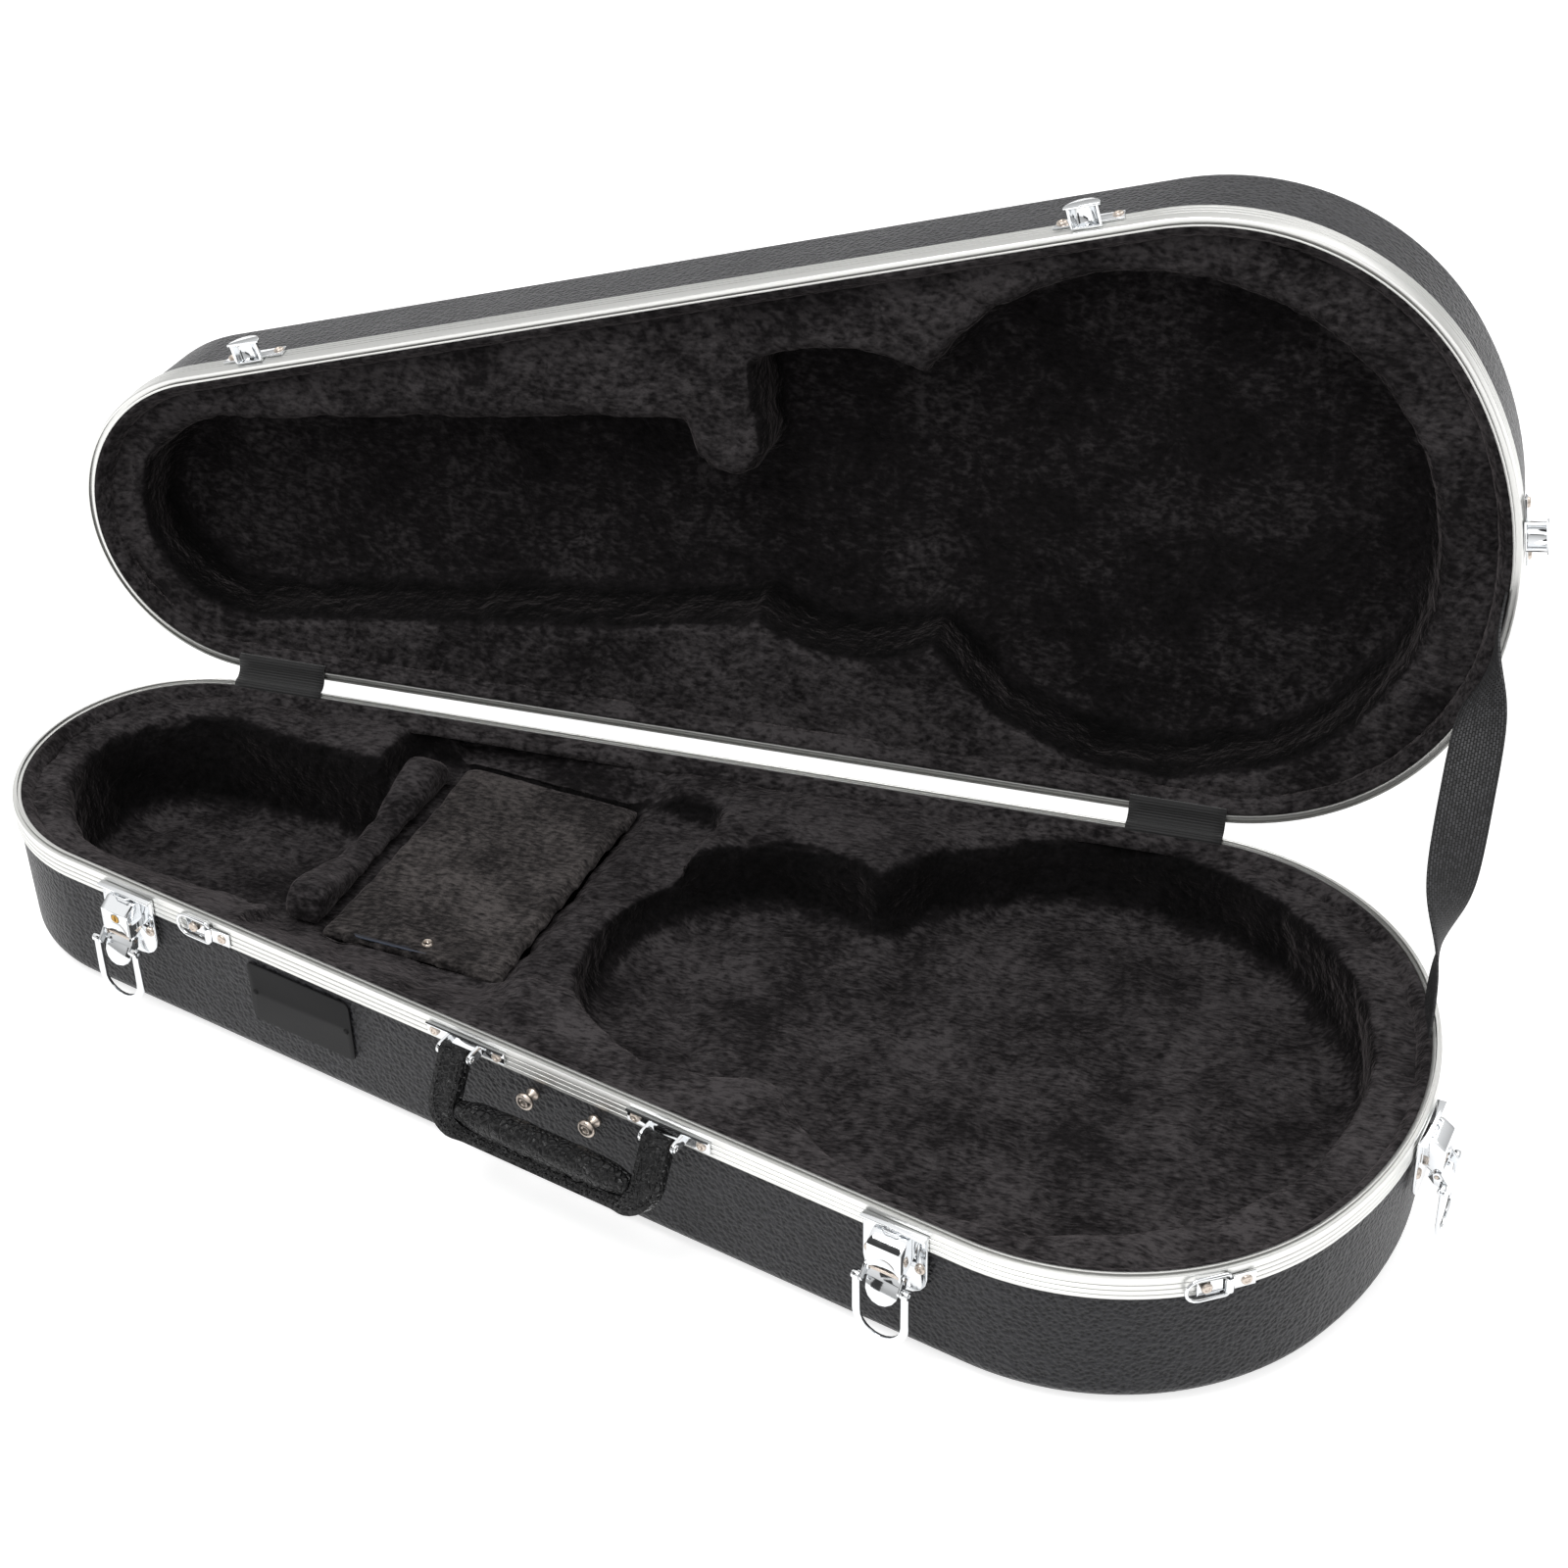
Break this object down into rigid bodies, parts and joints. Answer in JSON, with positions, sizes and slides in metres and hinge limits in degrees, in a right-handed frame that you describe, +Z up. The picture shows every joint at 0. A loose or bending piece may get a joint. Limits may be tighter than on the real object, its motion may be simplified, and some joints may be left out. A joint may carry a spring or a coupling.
{
  "type": "mandolin hard case",
  "caption": "Pear-shaped hard case for a mandolin, lid open on a stay strap, with rim extrusion, draw latches, carrying handle, plush wells and an accessory compartment.",
  "frame": {"origin": "centre of the plan's bounding box on the flat bottom of the base", "axes": "+X along the straight back edge towards the wide end, +Y towards the hinges, +Z up"},
  "size_m": [0.7863, 0.4352, 0.4228],
  "materials": {
    "abs_shell": "pebble-grained moulded ABS",
    "rim_aluminium": "bright anodised extrusion with fine grooves",
    "plush_lining": "deep-pile plush over foam",
    "webbing": "woven black webbing",
    "handle_leatherette": "grained leatherette with stitched edges",
    "tab_leather": "smooth leather tab",
    "lock_brass": "brass key barrel",
    "front_plate": "bare matte plate",
    "pin_steel": "plain steel pins and rivet heads",
    "hardware_chrome": "chrome-plated steel"
  },
  "bodies": {
    "base": {"base_padding": "plush_lining", "base_shell": "abs_shell", "base_valance": "rim_aluminium", "front_plate": "front_plate", "handle_bracket_1": "hardware_chrome", "handle_bracket_2": "hardware_chrome", "handle_pin_1": "pin_steel", "handle_pin_2": "pin_steel", "hinge_base_leaf_1": "hardware_chrome", "hinge_base_leaf_2": "hardware_chrome", "hinge_pin_1": "pin_steel", "hinge_pin_2": "pin_steel", "hinge_tape_1": "webbing", "hinge_tape_2": "webbing", "latch_cover_1": "hardware_chrome", "latch_cover_2": "hardware_chrome", "latch_cover_3": "hardware_chrome", "latch_pin_1": "pin_steel", "latch_pin_2": "pin_steel", "latch_pin_3": "pin_steel", "latch_plate_1": "hardware_chrome", "latch_plate_2": "hardware_chrome", "latch_plate_3": "hardware_chrome", "neck_cradle": "plush_lining", "ring_clip_1": "hardware_chrome", "ring_clip_2": "hardware_chrome", "shell_stud_1": "hardware_chrome", "shell_stud_2": "hardware_chrome", "stay_strap": "webbing"},
    "lid": {"hinge_lid_leaf_1": "hardware_chrome", "hinge_lid_leaf_2": "hardware_chrome", "lid_catch_1": "hardware_chrome", "lid_catch_2": "hardware_chrome", "lid_catch_3": "hardware_chrome", "lid_padding": "plush_lining", "lid_shell": "abs_shell", "lid_valance": "rim_aluminium"},
    "handle": {"handle_loop": "handle_leatherette", "handle_grip": "handle_leatherette"},
    "compartment": {"compartment_lid": "plush_lining", "pull_tab": "tab_leather", "tab_rivet": "pin_steel"},
    "lock": {"lock_barrel": "lock_brass"},
    "lever_1": {"latch_lever_1": "hardware_chrome"},
    "bail_1": {"latch_bail_1": "hardware_chrome"},
    "lever_2": {"latch_lever_2": "hardware_chrome"},
    "bail_2": {"latch_bail_2": "hardware_chrome"},
    "lever_3": {"latch_lever_3": "hardware_chrome"},
    "bail_3": {"latch_bail_3": "hardware_chrome"},
    "ring_1": {"strap_ring_1": "hardware_chrome"},
    "ring_2": {"strap_ring_2": "hardware_chrome"}
  },
  "joints": [
    {"name": "lid_hinge", "type": "hinge", "parent": "base", "child": "lid", "pos_m": [0, 0.17143, 0.085], "axis": [-1, 0, 0], "range_deg": [-93, 0], "deforming": ["hinge_tape_1", "hinge_tape_2", "stay_strap"]},
    {"name": "latch_1_lever", "type": "hinge", "parent": "base", "child": "lever_1", "pos_m": [-0.28267, -0.03114, 0.058], "axis": [0.9593, -0.2825, 0], "range_deg": [-140, 0]},
    {"name": "latch_1_bail", "type": "hinge", "parent": "lever_1", "child": "bail_1", "pos_m": [-0.28381, -0.03499, 0.05354], "axis": [0.9593, -0.2825, 0], "range_deg": [-40, 10]},
    {"name": "latch_2_lever", "type": "hinge", "parent": "base", "child": "lever_2", "pos_m": [0.16002, -0.16153, 0.058], "axis": [0.9593, -0.2825, 0], "range_deg": [-140, 0]},
    {"name": "latch_2_bail", "type": "hinge", "parent": "lever_2", "child": "bail_2", "pos_m": [0.15889, -0.16538, 0.05354], "axis": [0.9593, -0.2825, 0], "range_deg": [-40, 10]},
    {"name": "latch_3_lever", "type": "hinge", "parent": "base", "child": "lever_3", "pos_m": [0.39288, -0.02236, 0.058], "axis": [0.1427, 0.9898, 0], "range_deg": [-140, 0]},
    {"name": "latch_3_bail", "type": "hinge", "parent": "lever_3", "child": "bail_3", "pos_m": [0.39685, -0.02293, 0.05354], "axis": [0.1427, 0.9898, 0], "range_deg": [-40, 10]},
    {"name": "key_turn", "type": "hinge", "parent": "base", "child": "lock", "pos_m": [-0.28324, -0.03306, 0.0695], "axis": [-0.2825, -0.9593, 0], "range_deg": [0, 90]},
    {"name": "handle_swing", "type": "hinge", "parent": "base", "child": "handle", "pos_m": [-0.01576, -0.10923, 0.077], "axis": [-0.9593, 0.2825, 0], "range_deg": [0, 95]},
    {"name": "ring_1_swing", "type": "hinge", "parent": "base", "child": "ring_1", "pos_m": [-0.2271, -0.03891, 0.076], "axis": [0, 0, 1], "range_deg": [0, 150]},
    {"name": "ring_2_swing", "type": "hinge", "parent": "base", "child": "ring_2", "pos_m": [0.31256, -0.14515, 0.076], "axis": [0, 0, 1], "range_deg": [0, 150]},
    {"name": "compartment_hinge", "type": "hinge", "parent": "base", "child": "compartment", "pos_m": [-0.10771, 0.14581, 0.062], "axis": [-0.9898, 0.1427, 0], "range_deg": [0, 88]}
  ]
}
